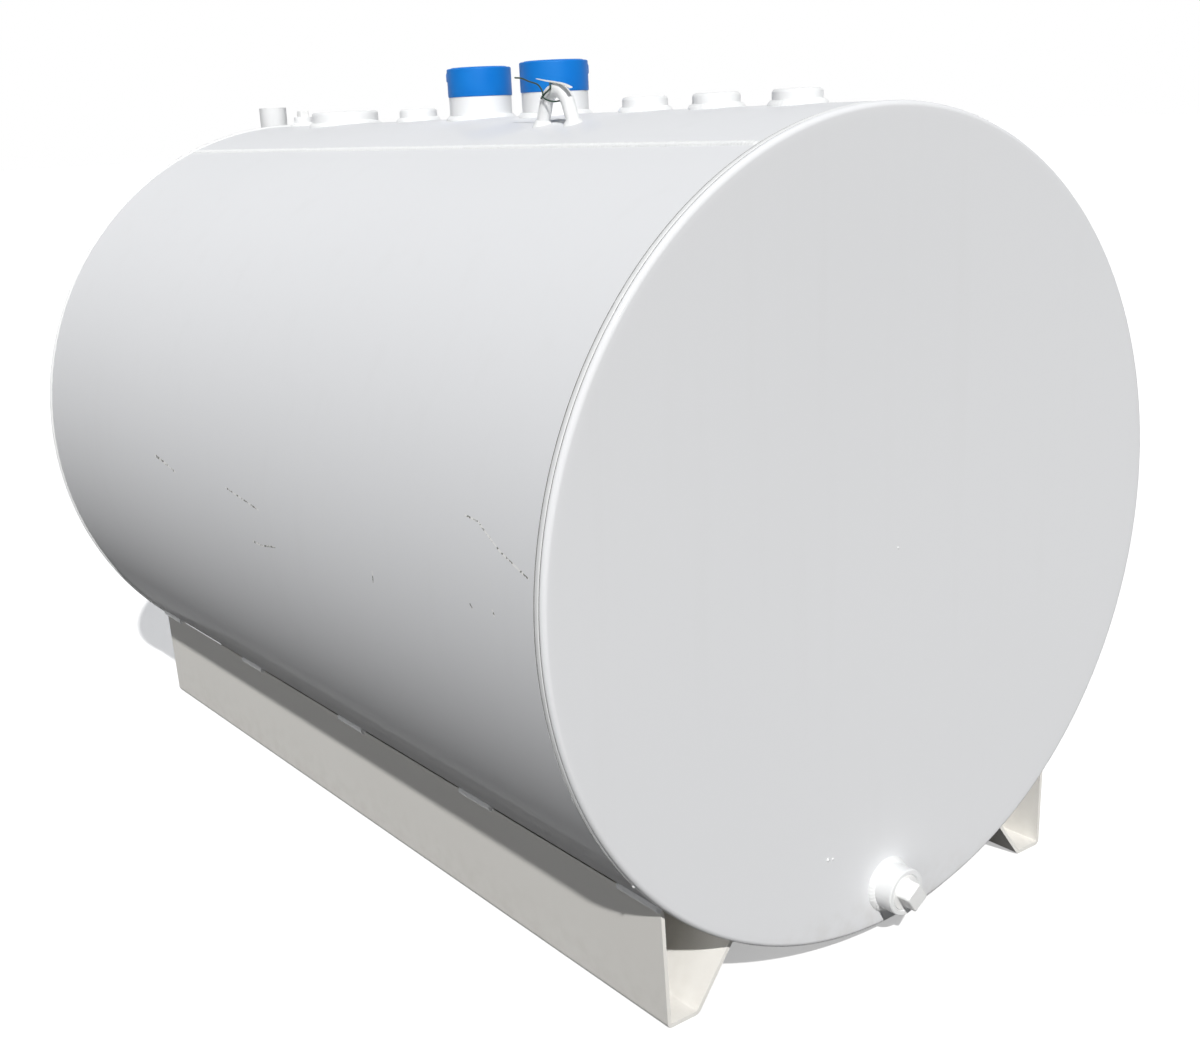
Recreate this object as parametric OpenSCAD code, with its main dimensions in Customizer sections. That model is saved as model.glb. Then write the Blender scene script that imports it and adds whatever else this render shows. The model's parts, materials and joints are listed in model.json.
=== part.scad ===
// Horizontal skid tank: a rolled steel shell with flat flanged heads, carried on
// two folded channel skids, with threaded couplings and capped risers on top.
// Millimetres. +X is the drain end, +Z is up, the origin is on the ground
// under the middle of the whole tank.

/* [Tank] */
// Outside diameter of the shell
tank_d = 1219.2; // [900:0.1:1600]
// Length over the faces of the two heads
tank_l = 1828.8; // [1500:0.1:2600]
// Thickness of the shell plate
shell_t = 4.8; // [3:0.1:8]
// Thickness of the head plate
head_t = 4.8; // [3:0.1:8]
// Outside radius of the knuckle at the rim of a head
knuckle_r = 12; // [9:0.5:30]
// Straight flange of a head that shows outside the shell
flange_show = 8; // [5:0.5:20]
// Length of head flange lapped inside the shell
flange_lap = 25; // [15:1:60]
// Angle of the long lap seam from the top, towards the near side
seam_angle = 22; // [12:1:60]
// Radius of the seam bead
seam_r = 7; // [5:0.5:12]
// Height of the seam bead above the shell
seam_h = 3; // [2:0.5:4.5]

/* [Skids] */
// Gap between the bottom of the shell and the ground
skid_drop = 24; // [15:1:120]
// Distance of a skid's end from the face of the head
skid_inset = 32; // [25:1:120]
// Half the distance between the outer faces of the skids at the ground
skid_half = 414; // [360:1:440]
// How far the outer web leans out towards its top
web_lean = 6; // [0:1:20]
// Width of the flat foot of a skid
foot_w = 57; // [40:1:90]
// Distance from the middle of the tank to the top of the inner web
inner_top = 286; // [240:1:300]
// Thickness of the skid plate
skid_t = 6; // [4:0.5:10]
// Outside radius of the bend at the outer edge of the foot
outer_bend = 8; // [7:0.5:12]
// Outside radius of the bend at the inner edge of the foot
inner_bend = 14; // [11:0.5:20]
// Gap between the top edges of a skid and the shell
skid_gap = 1.5; // [0.5:0.1:3]
// Number of stitch welds along each edge of a skid
stitch_count = 5; // [3:1:8]
// Length of a stitch weld
stitch_l = 90; // [50:1:130]
// Radius of a stitch weld bead
stitch_r = 7; // [5:0.5:10]

/* [Couplings] */
// Outside diameter of a small coupling
coupling_d = 73; // [66:0.1:90]
// Bore of a small coupling
coupling_bore = 55.6; // [50:0.1:58]
// Height of a small coupling above the crown of the shell
coupling_h = 22; // [16:0.5:40]
// Outside diameter of the large coupling
fill_d = 138; // [128:0.1:160]
// Bore of the large coupling
fill_bore = 106.4; // [98:0.1:112]
// Height of the large coupling above the crown of the shell
fill_h = 25; // [18:0.5:40]
// Chamfer at the mouth of each coupling
mouth_chamfer = 1.5; // [0.5:0.1:2.5]
// Step between a bore and the smaller hole in the plate under it
hole_step = 2; // [1:0.1:4]
// Height of the plain foot under the thread of each coupling
thread_foot = 0.5; // [0.2:0.1:2]
// Length of the cone in which the thread of each coupling runs out
thread_run = 1.5; // [1:0.1:4]
// Leg of the fillet weld round each fitting
weld_leg = 7; // [4:0.5:9]
// Distance of the first small coupling from the front head
first_x = 182; // [150:1:210]
// Distance of the second small coupling from the front head
second_x = 355; // [320:1:390]
// Distance of the third small coupling from the front head
third_x = 526; // [490:1:560]
// Distance of the rear small coupling from the front head
fourth_x = 1232; // [1190:1:1270]
// Distance of the large coupling from the front head
fill_x = 1534; // [1480:1:1560]

/* [Vent risers] */
// Outside diameter of a riser pipe
riser_d = 114.3; // [100:0.1:130]
// Wall of a riser pipe
riser_t = 6; // [4:0.1:9]
// Height of bare riser between the shell and its cap
riser_show = 38; // [25:0.5:60]
// Distance of the front riser from the front head
front_riser_x = 771; // [740:1:800]
// Distance of the rear riser from the front head
rear_riser_x = 1006; // [980:1:1040]
// Height of a cap
cap_h = 50; // [35:0.5:70]
// Wall of a cap
cap_t = 2.6; // [1.5:0.1:4]
// Clearance between a cap and its riser
cap_clear = 0.3; // [0.2:0.1:0.8]
// Height of the raised disc on a cap
cap_disc_h = 1.5; // [0.5:0.1:3]
// Width of the flat rim round the raised disc
cap_rim = 22; // [10:1:35]

/* [Test port] */
// Distance of the test port from the front head
port_x = 1730; // [1680:1:1750]
// Distance of the test port from the back head, which the row of fittings is spread to keep
port_back = 98.8; // [80:0.1:140]
// Outside diameter of the test port
port_d = 40; // [34:0.1:48]
// Bore of the test port
port_bore = 29; // [24:0.1:31]
// Height of the test port above the crown of the shell
port_h = 19; // [14:0.5:30]
// Width across the square head of its plug
port_square = 20.6; // [15:0.1:24]
// Height of the square head of its plug
port_square_h = 13; // [8:0.5:20]

/* [Drain] */
// Height of the drain's middle above the bottom of the shell
drain_up = 65; // [55:0.5:140]
// Length of the drain coupling in front of the head
drain_l = 38; // [25:0.5:60]
// Width across the square head of the drain plug
drain_square = 34; // [26:0.1:38]
// Length of the square head of the drain plug
drain_square_l = 22; // [12:0.5:35]
// Turn of the square head from upright
drain_turn = 35; // [0:1:45]
// Clearance between a plug and the bore it closes
plug_clear = 0.2; // [0.1:0.05:0.5]

/* [Lifting lugs] */
// Diameter of the lug bar
lug_d = 22; // [16:0.5:26]
// Distance between the feet of a lug
lug_span = 84; // [76:1:100]
// Height of a lug above the shell
lug_h = 62; // [54:1:70]
// Lean of each leg from upright
lug_lean = 22; // [14:1:26]
// Distance of the front lug from the front head
lug_x = 585; // [560:1:620]
// Distance of a lug from the middle line of the tank
lug_y = 130; // [115:1:160]

/* [Standpipe] */
// Outside diameter of the standpipe
pipe_d = 60.3; // [48:0.1:73]
// Wall of the standpipe
pipe_t = 3.9; // [2.5:0.1:6]
// Radius of the elbow at the foot of the standpipe
elbow_r = 50.8; // [46:0.1:76]
// Height of the standpipe above the crown of the shell
pipe_top = 42; // [20:1:100]
// Height of the elbow's end above the bottom of the shell
elbow_up = 65; // [55:0.5:140]
// Distance of the clip below the crown of the shell
clip_down = 180; // [120:1:400]
// Height of the clip
clip_h = 40; // [25:1:60]
// Thickness of the clip
clip_t = 8; // [5:0.5:14]

/* [Hidden] */

$fn = 96;
// Facets of the large round shapes, fine enough for the saddles that they trim
tank_facets = 720;

// Paint and plastic colours
paint_white = "WhiteSmoke";
weld_white = "Gainsboro";
cap_blue = [0.02, 0.45, 0.85];

// Places that the other sizes lead to
tank_r = tank_d / 2;
inner_r = tank_r - shell_t;
head_fit = 0.2;
head_r = inner_r - head_fit;
drain_reach = drain_l + drain_square_l;
pipe_reach = elbow_r + pipe_d / 2;
front_x = (tank_l + pipe_reach - drain_reach) / 2;
back_x = front_x - tank_l;
middle_x = (front_x + back_x) / 2;
axis_z = tank_r + skid_drop;
crown_z = axis_z + tank_r;
setback = knuckle_r + flange_show;
shell_l = tank_l - 2 * setback;
skid_l = tank_l - 2 * skid_inset;
drain_z = skid_drop + drain_up;
elbow_z = skid_drop + elbow_up;
pipe_x = back_x - elbow_r;
small_xs = [first_x, second_x, third_x, fourth_x];
riser_xs = [front_riser_x, rear_riser_x];
riser_bore = riser_d - 2 * riser_t;
pipe_bore = pipe_d - 2 * pipe_t;
// Depth below the crown that a fitting's raw tube starts from, before the shell trims it
saddle = 20;
// Amount by which a cutter passes the face it cuts
past = 1;

// Direction helpers for outlines
function unit(v) = v / norm(v);
function inward(a, b) = let (d = unit(b - a)) [d.y, -d.x];
function circle_z(y, r) = -sqrt(r * r - y * y);

// Points of the bend that joins a-b to b-c: the bend's radius is r, the points lie at radius draw
function bend(a, b, c, r, draw, steps = 6) =
    let (
        u = unit(a - b),
        w = unit(c - b),
        half = acos(u * w) / 2,
        middle = b + unit(u + w) * r / sin(half),
        start = b + u * r / tan(half) - middle,
        finish = b + w * r / tan(half) - middle,
        from = atan2(start.y, start.x),
        turn = atan2(finish.y, finish.x) - from,
        sweep = turn > 180 ? turn - 360 : turn < -180 ? turn + 360 : turn
    )
    [for (i = [0 : steps]) let (t = from + sweep * i / steps) middle + draw * [cos(t), sin(t)]];

function reversed(list) = [for (i = [len(list) - 1 : -1 : 0]) list[i]];

// A cylinder along the tank, from x0 towards +X
module along_tank(x0, length, r) {
    translate([x0, 0, axis_z])
        rotate([0, 90, 0])
            cylinder(h = length, r = r, $fn = tank_facets);
}

// The space that the shell and its inside take up
module tank_body() {
    along_tank(back_x - past, tank_l + 2 * past, tank_r);
}

// Extrudes a shape in the tank's cross-section along the tank
module extrude_along(x0, length) {
    translate([x0, 0, axis_z])
        rotate([90, 0, 90])
            linear_extrude(height = length)
                children();
}

// How far the row of fittings is drawn out, so that both its ends keep their distance from the heads
row_spread = (tank_l - first_x - port_back) / (port_x - first_x);

// Moves children to a place on the crown of the shell, back from the front head
module on_crown(distance) {
    translate([front_x - first_x - (distance - first_x) * row_spread, 0, crown_z])
        children();
}

// A drilling straight down through the crown of the shell
module crown_hole(distance, diameter) {
    on_crown(distance)
        translate([0, 0, -tank_r / 2])
            cylinder(h = tank_r, d = diameter);
}

// Shell

module shell() {
    color(paint_white)
        difference() {
            along_tank(back_x + setback, shell_l, tank_r);
            along_tank(back_x + setback - past, shell_l + 2 * past, inner_r);
            for (x = small_xs)
                crown_hole(x, coupling_bore - 2 * hole_step);
            for (x = riser_xs)
                crown_hole(x, riser_bore - 2 * hole_step);
            crown_hole(fill_x, fill_bore - 2 * hole_step);
            crown_hole(port_x, port_bore - 2 * hole_step);
        }
}

// The bead of the long lap seam, flat where it lies on the shell
module seam_section() {
    rotate(seam_angle)
        translate([0, tank_r])
            intersection() {
                translate([0, seam_h - seam_r])
                    circle(r = seam_r);
                translate([-seam_r, 0])
                    square([2 * seam_r, seam_h]);
            }
}

module shell_seam() {
    color(weld_white)
        extrude_along(back_x + setback, shell_l)
            seam_section();
}

// Heads

module pan_outline(r, depth, knuckle) {
    square([r - knuckle, depth]);
    square([r, depth - knuckle]);
    translate([r - knuckle, depth - knuckle])
        intersection() {
            circle(r = knuckle);
            square(knuckle);
        }
}

// A flat head with a turned flange, its face at the origin and looking along +X
module head_pan() {
    depth = setback + flange_lap;
    rotate([0, 90, 0])
        translate([0, 0, -depth])
            rotate_extrude()
                difference() {
                    pan_outline(head_r, depth, knuckle_r);
                    translate([0, -past])
                        pan_outline(head_r - head_t, depth + past - head_t, knuckle_r - head_t);
                }
}

module front_head() {
    color(paint_white)
        difference() {
            translate([front_x, 0, axis_z])
                head_pan();
            translate([front_x - 2 * head_t, 0, drain_z])
                rotate([0, 90, 0])
                    cylinder(h = 3 * head_t, d = coupling_bore - 2 * hole_step);
        }
}

module back_head() {
    color(paint_white)
        difference() {
            translate([back_x, 0, axis_z])
                mirror([1, 0, 0])
                    head_pan();
            translate([back_x - head_t, 0, elbow_z])
                rotate([0, 90, 0])
                    cylinder(h = 3 * head_t, d = pipe_bore - 2 * hole_step);
        }
}

// The bead in the step between the end of the shell and the head's flange
// Where the face of a head bead bows out, as shares of the plate and of the flange that shows
head_bead_rise = 0.7;
head_bead_reach = 0.6;

module head_bead() {
    rotate([0, 90, 0])
        rotate_extrude()
            polygon([
                [head_r, 0],
                [head_r + shell_t, 0],
                [head_r + head_bead_rise * shell_t, head_bead_reach * flange_show],
                [head_r, flange_show]
            ]);
}

module front_head_weld() {
    color(weld_white)
        translate([front_x - setback, 0, axis_z])
            head_bead();
}

module back_head_weld() {
    color(weld_white)
        translate([back_x + setback, 0, axis_z])
            mirror([1, 0, 0])
                head_bead();
}

// Skids

ground = -(tank_r + skid_drop);
web_foot = [skid_half, ground];
foot_inner = [skid_half - foot_w, ground];
web_top_y = skid_half + web_lean;
inner_edge = [inner_top, circle_z(inner_top, tank_r)];
// How far the webs run on into the shell before it trims them, as a share of their height
web_past = 1.2;
web_end = web_foot + web_past * ([web_top_y, circle_z(web_top_y, tank_r)] - web_foot);
inner_end = foot_inner + web_past * (inner_edge - foot_inner);

// Folded section: outer web, flat foot and sloping inner web, in the tank's cross-section
module skid_section() {
    outside = concat(
        [web_end],
        bend(web_end, web_foot, foot_inner, outer_bend, outer_bend),
        bend(web_foot, foot_inner, inner_end, inner_bend, inner_bend),
        [inner_end]
    );
    inside = concat(
        [web_end + skid_t * inward(web_end, web_foot)],
        bend(web_end, web_foot, foot_inner, outer_bend, outer_bend - skid_t),
        bend(web_foot, foot_inner, inner_end, inner_bend, inner_bend - skid_t),
        [inner_end + skid_t * inward(foot_inner, inner_end)]
    );
    difference() {
        polygon(concat(outside, reversed(inside)));
        circle(r = tank_r + skid_gap, $fn = tank_facets);
    }
}

module skid() {
    extrude_along(back_x + skid_inset, skid_l)
        skid_section();
}

// Beads in the corners where the webs meet the shell, trimmed by both
module stitch_section() {
    difference() {
        union() {
            translate([web_top_y, circle_z(web_top_y, tank_r)])
                circle(r = stitch_r, $fn = 48);
            translate(inner_edge)
                circle(r = stitch_r, $fn = 48);
        }
        circle(r = tank_r, $fn = tank_facets);
        skid_section();
        stitch_back();
    }
}

// The channel side of both webs, where no bead reaches
module stitch_back() {
    polygon([
        web_end + skid_t * inward(web_end, web_foot) / 2,
        web_foot + skid_t * inward(web_end, web_foot) / 2,
        foot_inner + skid_t * inward(foot_inner, inner_end) / 2,
        inner_end + skid_t * inward(foot_inner, inner_end) / 2
    ]);
}

module stitches() {
    pitch = (skid_l - stitch_l) / (stitch_count - 1);
    for (i = [0 : stitch_count - 1])
        extrude_along(back_x + skid_inset + i * pitch, stitch_l)
            stitch_section();
}

module left_skid() {
    color(paint_white)
        mirror([0, 1, 0])
            skid();
}

module right_skid() {
    color(paint_white)
        skid();
}

module left_skid_welds() {
    color(weld_white)
        mirror([0, 1, 0])
            stitches();
}

module right_skid_welds() {
    color(weld_white)
        stitches();
}

// Couplings and risers on the crown

// Height of the lower end of the thread above the foot of a coupling
thread_end = thread_foot + thread_run;

// A threaded coupling with chamfered mouth, its foot at the origin and reaching down to be trimmed
module coupling_tube(d, bore, h, down) {
    rotate_extrude()
        polygon([
            [bore / 2 - hole_step, -down],
            [d / 2, -down],
            [d / 2, h - mouth_chamfer],
            [d / 2 - mouth_chamfer, h],
            [bore / 2 + mouth_chamfer, h],
            [bore / 2, h - mouth_chamfer],
            [bore / 2, thread_end],
            [bore / 2 - hole_step, thread_foot]
        ]);
}

module crown_coupling(distance, d, bore, h) {
    color(paint_white)
        difference() {
            on_crown(distance)
                coupling_tube(d, bore, h, saddle);
            tank_body();
        }
}

module first_coupling() {
    crown_coupling(first_x, coupling_d, coupling_bore, coupling_h);
}

module second_coupling() {
    crown_coupling(second_x, coupling_d, coupling_bore, coupling_h);
}

module third_coupling() {
    crown_coupling(third_x, coupling_d, coupling_bore, coupling_h);
}

module fourth_coupling() {
    crown_coupling(fourth_x, coupling_d, coupling_bore, coupling_h);
}

module fill_coupling() {
    crown_coupling(fill_x, fill_d, fill_bore, fill_h);
}

module test_port() {
    crown_coupling(port_x, port_d, port_bore, port_h);
}

module crown_riser(distance) {
    top = riser_show + cap_h - cap_t - cap_clear;
    color(paint_white)
        difference() {
            on_crown(distance)
                difference() {
                    translate([0, 0, -saddle])
                        cylinder(h = saddle + top, d = riser_d);
                    translate([0, 0, -saddle - past])
                        cylinder(h = saddle + top + 2 * past, d = riser_bore);
                }
            tank_body();
        }
}

module front_riser() {
    crown_riser(front_riser_x);
}

module rear_riser() {
    crown_riser(rear_riser_x);
}

// A moulded push-on cap with a bevelled edge and a raised disc
module riser_cap(distance) {
    inner = riser_d / 2 + cap_clear;
    outer = inner + cap_t;
    color(cap_blue)
        on_crown(distance)
            translate([0, 0, riser_show])
                rotate_extrude()
                    polygon([
                        [inner, 0],
                        [outer, 0],
                        [outer, cap_h - cap_t],
                        [outer - cap_t, cap_h],
                        [outer - cap_rim, cap_h],
                        [outer - cap_rim - cap_disc_h, cap_h + cap_disc_h],
                        [0, cap_h + cap_disc_h],
                        [0, cap_h - cap_t],
                        [inner, cap_h - cap_t]
                    ]);
}

module front_cap() {
    riser_cap(front_riser_x);
}

module rear_cap() {
    riser_cap(rear_riser_x);
}

// Round that trims the corners of a square head, as a share of its width
square_round = 1.32;

// A pipe plug: a round body that fills the thread and a square head above the mouth
module square_plug(bore, depth, square_w, square_h) {
    translate([0, 0, -depth])
        cylinder(h = depth, d = bore - 2 * plug_clear);
    intersection() {
        translate([0, 0, square_h / 2])
            cube([square_w, square_w, square_h], center = true);
        cylinder(h = square_h, d = square_round * square_w);
    }
}

module test_port_plug() {
    color(weld_white)
        on_crown(port_x)
            translate([0, 0, port_h])
                square_plug(port_bore, port_h - thread_end, port_square, port_square_h);
}

// Where the face of a fillet bead bows out, as a share of its leg
bead_bow = 0.35;

// A fillet bead round a tube, reaching down to be trimmed
module ring_bead(d, down) {
    rotate_extrude()
        polygon([
            [d / 2, -down],
            [d / 2 + weld_leg, -down],
            [d / 2 + weld_leg, 0],
            [d / 2 + bead_bow * weld_leg, bead_bow * weld_leg],
            [d / 2, weld_leg]
        ]);
}

module fitting_welds() {
    color(weld_white)
        difference() {
            union() {
                for (x = small_xs)
                    on_crown(x)
                        ring_bead(coupling_d, saddle);
                for (x = riser_xs)
                    on_crown(x)
                        ring_bead(riser_d, saddle);
                on_crown(fill_x)
                    ring_bead(fill_d, saddle);
                on_crown(port_x)
                    ring_bead(port_d, saddle);
            }
            tank_body();
        }
}

// Drain in the front head

module at_drain() {
    translate([front_x, 0, drain_z])
        rotate([0, 90, 0])
            children();
}

module drain_coupling() {
    color(paint_white)
        at_drain()
            coupling_tube(coupling_d, coupling_bore, drain_l, 0);
}

module drain_plug() {
    color(weld_white)
        at_drain()
            translate([0, 0, drain_l])
                rotate([0, 0, drain_turn])
                    square_plug(coupling_bore, drain_l - thread_end, drain_square, drain_square_l);
}

module drain_weld() {
    color(weld_white)
        at_drain()
            ring_bead(coupling_d, 0);
}

// Lifting lugs: one bar bent to a loop, standing on the shell

lug_base = sqrt(tank_r * tank_r - lug_y * lug_y);
lug_line_h = lug_h - lug_d / 2;
lug_bend = (lug_span / 2 - lug_line_h * tan(lug_lean))
    / (cos(lug_lean) - (1 - sin(lug_lean)) * tan(lug_lean));
lug_bend_z = lug_line_h - lug_bend;

// The bend at the top of a lug
module lug_arch() {
    rotate([90, 0, 0])
        translate([0, lug_bend_z, 0])
            rotate([0, 0, lug_lean])
                rotate_extrude(angle = 180 - 2 * lug_lean)
                    translate([lug_bend, 0])
                        circle(d = lug_d);
}

// How much thinner the legs are than the bend, and how far they reach into it
leg_slim = 0.4;
leg_reach = 2;

// A straight leg down from an end of the bend, long enough for the shell to trim
module lug_leg(side) {
    translate([side * lug_bend * cos(lug_lean), 0, lug_bend_z + lug_bend * sin(lug_lean)])
        rotate([0, side * (180 - lug_lean), 0])
            rotate([0, 0, 90])
                translate([0, 0, -leg_reach])
                    cylinder(h = lug_h + leg_reach, d = lug_d - leg_slim);
}

module at_lug(x, y) {
    translate([x, y, axis_z + lug_base])
        children();
}

module lug(x, y) {
    color(paint_white) {
        at_lug(x, y)
            lug_arch();
        for (side = [-1, 1])
            difference() {
                at_lug(x, y)
                    lug_leg(side);
                tank_body();
            }
    }
}

// Beads round both feet of a lug
module lug_welds(x, y) {
    color(weld_white)
        difference() {
            at_lug(x, y)
                for (side = [-1, 1])
                    translate([side * lug_span / 2, 0, -saddle])
                        cylinder(h = saddle + weld_leg, d1 = lug_d + 2 * weld_leg + saddle, d2 = lug_d);
            at_lug(x, y)
                for (side = [-1, 1])
                    lug_leg(side);
            tank_body();
        }
}

front_lug_x = front_x - lug_x;
rear_lug_x = 2 * middle_x - front_lug_x;

module front_lug() {
    lug(front_lug_x, -lug_y);
}

module rear_lug() {
    lug(rear_lug_x, lug_y);
}

module front_lug_welds() {
    lug_welds(front_lug_x, -lug_y);
}

module rear_lug_welds() {
    lug_welds(rear_lug_x, lug_y);
}

// Standpipe behind the back head

module standpipe() {
    foot = elbow_z + elbow_r;
    length = crown_z + pipe_top - foot;
    color(paint_white)
        translate([pipe_x, 0, foot])
            difference() {
                cylinder(h = length, d = pipe_d);
                translate([0, 0, -past])
                    cylinder(h = length + 2 * past, d = pipe_bore);
            }
}

module standpipe_elbow() {
    color(paint_white)
        translate([back_x, 0, elbow_z + elbow_r])
            rotate([90, 0, 0])
                rotate([0, 0, 180])
                    rotate_extrude(angle = 90)
                        translate([elbow_r, 0])
                            difference() {
                                circle(d = pipe_d);
                                circle(d = pipe_bore);
                            }
}

module standpipe_weld() {
    color(weld_white)
        difference() {
            translate([back_x, 0, elbow_z])
                rotate([0, -90, 0])
                    ring_bead(pipe_d, 0);
            translate([back_x, 0, elbow_z + elbow_r])
                rotate([90, 0, 0])
                    rotate([0, 0, 180])
                        rotate_extrude(angle = 90)
                            translate([elbow_r, 0])
                                circle(d = pipe_d);
        }
}

// A flat bar between the back head and the pipe
module standpipe_clip() {
    color(paint_white)
        translate([pipe_x, -clip_t / 2, crown_z - clip_down])
            difference() {
                cube([elbow_r, clip_t, clip_h]);
                translate([0, clip_t / 2, -past])
                    cylinder(h = clip_h + 2 * past, d = pipe_d);
            }
}

shell();
shell_seam();
front_head();
back_head();
front_head_weld();
back_head_weld();
left_skid();
right_skid();
left_skid_welds();
right_skid_welds();
first_coupling();
second_coupling();
third_coupling();
fourth_coupling();
fill_coupling();
front_riser();
rear_riser();
front_cap();
rear_cap();
test_port();
test_port_plug();
fitting_welds();
drain_coupling();
drain_plug();
drain_weld();
front_lug();
rear_lug();
front_lug_welds();
rear_lug_welds();
standpipe();
standpipe_elbow();
standpipe_weld();
standpipe_clip();
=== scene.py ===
"""Skid tank: finishes, weld beads, trim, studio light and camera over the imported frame."""
import json
import logging
import random
from collections.abc import Callable, Sequence
from dataclasses import dataclass, replace
from enum import Enum
from math import cos, pi, radians, sin, sqrt

import bpy
from mathutils import Color, Matrix, Vector


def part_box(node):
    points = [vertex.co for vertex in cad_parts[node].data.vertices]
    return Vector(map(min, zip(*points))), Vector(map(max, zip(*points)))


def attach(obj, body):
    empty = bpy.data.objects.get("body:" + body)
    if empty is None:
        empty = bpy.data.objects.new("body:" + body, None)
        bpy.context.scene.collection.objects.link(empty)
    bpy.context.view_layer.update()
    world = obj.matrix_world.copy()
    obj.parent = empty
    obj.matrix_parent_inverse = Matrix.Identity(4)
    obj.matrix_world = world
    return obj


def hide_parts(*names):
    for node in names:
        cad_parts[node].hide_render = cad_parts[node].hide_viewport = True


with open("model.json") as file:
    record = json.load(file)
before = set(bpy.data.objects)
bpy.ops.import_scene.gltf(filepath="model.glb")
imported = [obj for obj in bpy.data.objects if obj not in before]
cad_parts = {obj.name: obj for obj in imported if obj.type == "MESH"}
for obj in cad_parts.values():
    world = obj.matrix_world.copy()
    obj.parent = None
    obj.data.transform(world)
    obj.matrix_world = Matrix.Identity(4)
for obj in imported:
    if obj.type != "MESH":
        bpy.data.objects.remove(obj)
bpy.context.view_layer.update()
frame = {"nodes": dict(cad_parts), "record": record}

LOG = logging.getLogger("skid_tank")
BODY = "root"
PHOTO_WIDTH = 1200
SENSOR_WIDTH = 36.0
DISPLAY_STEPS = 255
NOISE_ROUGHNESS = 0.55
FULL_TURN = 2 * pi
QUARTER_TURN = pi / 2
MILLIMETRE = 0.001
# Faces that meet overlap by a few hairs
HAIR = 0.0001

Colour = tuple[float, float, float, float]
Place = tuple[float, float, float]
Pair = tuple[float, float]
Profile = list[Pair]
Rows = Sequence[Sequence[Vector]]
Node = bpy.types.Node
Socket = bpy.types.NodeSocket
Source = Socket | float | Sequence[float]
Feeds = dict[str | int, Source]

WHITE: Colour = (1.0, 1.0, 1.0, 1.0)
# Places of the colour sockets on a Mix node
MIX_INPUTS = (0, 6, 7)
MIX_RESULT = 2


def tone(red: int, green: int, blue: int) -> Colour:
    """Gives the linear colour of a display colour in steps of 255."""
    shown = Color((red / DISPLAY_STEPS, green / DISPLAY_STEPS, blue / DISPLAY_STEPS))
    return (*shown.from_srgb_to_scene_linear(), 1.0)


def add_object(name: str, data: bpy.types.ID) -> bpy.types.Object:
    """Makes an object and links it to the scene.

    Args:
        name: name of the object.
        data: its mesh, lamp or camera.

    Returns:
        The new object.
    """
    made = bpy.data.objects.new(name, data)
    bpy.context.scene.collection.objects.link(made)
    return made


def extent(node: str) -> tuple[Vector, Vector, Vector]:
    """Gives the low corner, the high corner and the middle of a CAD node."""
    low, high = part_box(node)
    return low, high, (low + high) / 2


def circle(radius: float, height: float, place: Matrix, count: int) -> list[Vector]:
    """Gives points round the axis of a place, at one height along it."""
    turns = [FULL_TURN * step / count for step in range(count)]
    return [place @ Vector((radius * cos(turn), radius * sin(turn), height)) for turn in turns]


def corner(middle: Pair, radius: float, steps: int) -> Profile:
    """Gives a round corner of a profile, from its top to its side."""
    turns = [QUARTER_TURN * (1 - step / steps) for step in range(steps + 1)]
    return [(middle[0] + radius * cos(turn), middle[1] + radius * sin(turn)) for turn in turns]


@dataclass(frozen=True)
class Shell:
    """Sizes of the round shell."""

    radius: float
    axis_z: float
    back: float
    front: float

    def at(self, x: float, angle: float, lift: float = 0.0) -> Vector:
        """Gives a place on the shell, with the angle from the top towards the near side."""
        reach = self.radius + lift
        return Vector((x, -reach * sin(angle), self.axis_z + reach * cos(angle)))

    def crown_at(self, x: float, y: float) -> tuple[Vector, Vector]:
        """Gives a place on top of the shell and the way the plate faces there."""
        rise = sqrt(self.radius**2 - y * y)
        return Vector((x, y, self.axis_z + rise)), Vector((0.0, y, rise)).normalized()

    def end_axis(self, x: float, way: float) -> Matrix:
        """Gives the shell's axis at a place along it, facing out of one end."""
        turned = Matrix.Rotation(QUARTER_TURN * way, 4, "Y")
        return Matrix.Translation((x, 0.0, self.axis_z)) @ turned


def read_shell() -> Shell:
    """Reads the sizes of the shell from the frame."""
    low, high, middle = extent("shell")
    return Shell((high.y - low.y) / 2, middle.z, low.x, high.x)


SHELL = read_shell()


class Slot(Enum):
    """The finishes of the tank, by the slots of its record."""

    TANK = "tank_paint"
    SKID = "skid_paint"
    FITTING = "fitting_paint"
    WELD = "weld_paint"
    PLUG = "plug_paint"
    LUG = "lug_paint"
    CAP = "cap_plastic"


class Trim(Enum):
    """The finishes of the loose trim."""

    WIRE = "tie_wire"
    TAG = "blank_tag"
    # Dark bands of painted shade in the toe grooves of the head beads
    TOE = "toe_dirt"


class SocketKind(Enum):
    """Socket types of the shared effects."""

    COLOUR = "NodeSocketColor"
    VALUE = "NodeSocketFloat"
    PLACE = "NodeSocketVector"


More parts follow.
